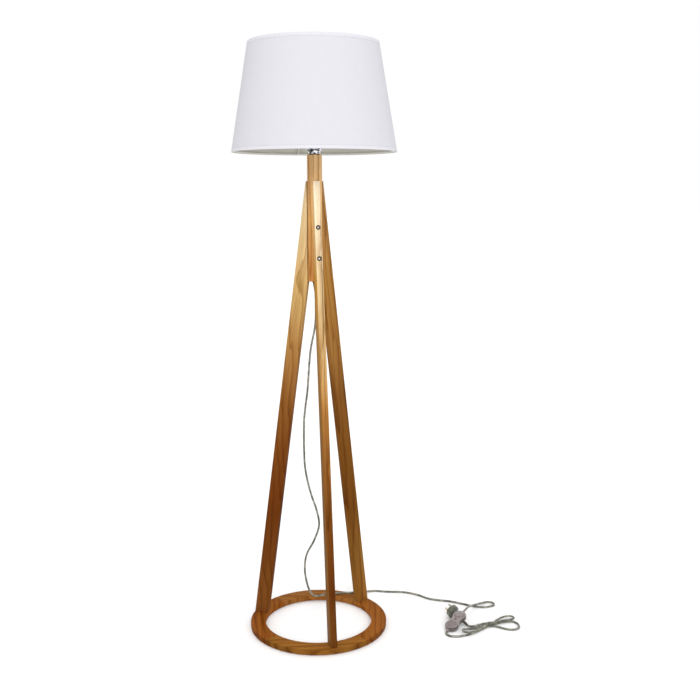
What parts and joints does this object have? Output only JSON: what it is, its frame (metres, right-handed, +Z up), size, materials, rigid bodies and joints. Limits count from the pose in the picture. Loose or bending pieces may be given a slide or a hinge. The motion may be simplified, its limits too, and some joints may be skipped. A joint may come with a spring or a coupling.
{
  "type": "tripod floor lamp",
  "caption": "Wooden tripod floor lamp on a flat ring base, with a tapered white drum shade, a foot switch on its lead, a tied hank and a flat-pin plug.",
  "frame": {"origin": "on the floor at the centre of the base ring", "axes": "+Z up along the centre pole; the front leg stands on -Y; +X to the right seen from the front"},
  "size_m": [0.7215, 0.409, 1.5],
  "materials": {
    "base_wood": "satin lacquer, brown",
    "bolt_steel": "dark, satin",
    "bulb_glass": "opal",
    "contact_brass": "plain",
    "cord_plastic": "clear sheath over grey cores",
    "cup_chrome": "mirror plated",
    "dark_rubber": "matt",
    "frame_white": "white powder coat",
    "holder_black": "moulded",
    "holder_white": "moulded",
    "leg_wood": "satin lacquer, pale honey at the top fading to brown",
    "pad_felt": "pressed felt",
    "plated_steel": "zinc plated",
    "plug_plastic": "translucent grey-green",
    "pole_wood": "satin lacquer, honey",
    "shade_fabric": "fine white weave on a stiff backing",
    "shade_trim": "folded white hem tape",
    "spring_steel": "plain drawn wire",
    "switch_plastic": "smoky translucent"
  },
  "bodies": {
    "lamp": {"base_ring": "base_wood", "bottom_trim": "shade_trim", "bulb_cap": "plated_steel", "bulb_globe": "bulb_glass", "button_spring": "spring_steel", "centre_contact": "contact_brass", "centre_pole": "pole_wood", "cord_gland": "dark_rubber", "cord_hank": "cord_plastic", "cord_to_hank": "cord_plastic", "cord_to_plug": "cord_plastic", "cord_to_switch": "cord_plastic", "cup_nut": "plated_steel", "fixed_contact_lamp": "contact_brass", "fixed_contact_supply": "contact_brass", "floor_pad_1": "pad_felt", "floor_pad_2": "pad_felt", "floor_pad_3": "pad_felt", "foot_screw_front": "plated_steel", "foot_screw_left": "plated_steel", "foot_screw_right": "plated_steel", "hank_tie": "dark_rubber", "holder_base": "holder_black", "holder_cup": "cup_chrome", "holder_skirt": "holder_white", "lead_in_pole": "cord_plastic", "leg_bolt_front_lower": "bolt_steel", "leg_bolt_front_upper": "bolt_steel", "leg_bolt_left_lower": "bolt_steel", "leg_bolt_left_upper": "bolt_steel", "leg_bolt_right_lower": "bolt_steel", "leg_bolt_right_upper": "bolt_steel", "leg_front": "leg_wood", "leg_left": "leg_wood", "leg_right": "leg_wood", "plug_body": "plug_plastic", "plug_pin_live": "contact_brass", "plug_pin_neutral": "contact_brass", "plug_strain_relief": "dark_rubber", "screw_shell": "contact_brass", "shade_retaining_ring": "holder_white", "shade_skin": "shade_fabric", "shade_spider": "frame_white", "shade_top_wire": "frame_white", "switch_base": "switch_plastic", "switch_boot_lamp": "switch_plastic", "switch_boot_supply": "switch_plastic", "switch_cover": "switch_plastic", "switch_screw": "bolt_steel", "threaded_insert_front_lower": "contact_brass", "threaded_insert_front_upper": "contact_brass", "threaded_insert_left_lower": "contact_brass", "threaded_insert_left_upper": "contact_brass", "threaded_insert_right_lower": "contact_brass", "threaded_insert_right_upper": "contact_brass", "threaded_tube": "plated_steel", "top_trim": "shade_trim", "tube_nut": "plated_steel"},
    "button": {"switch_button": "switch_plastic", "contact_bridge": "contact_brass"}
  },
  "joints": [
    {"name": "button_press", "type": "slide", "parent": "lamp", "child": "button", "axis": [0.1861, 0.1545, -0.9703], "range_m": [0, 0.0025], "stiffness_N_per_m": 900, "springref_m": -0.002, "deforming": ["button_spring"]}
  ]
}
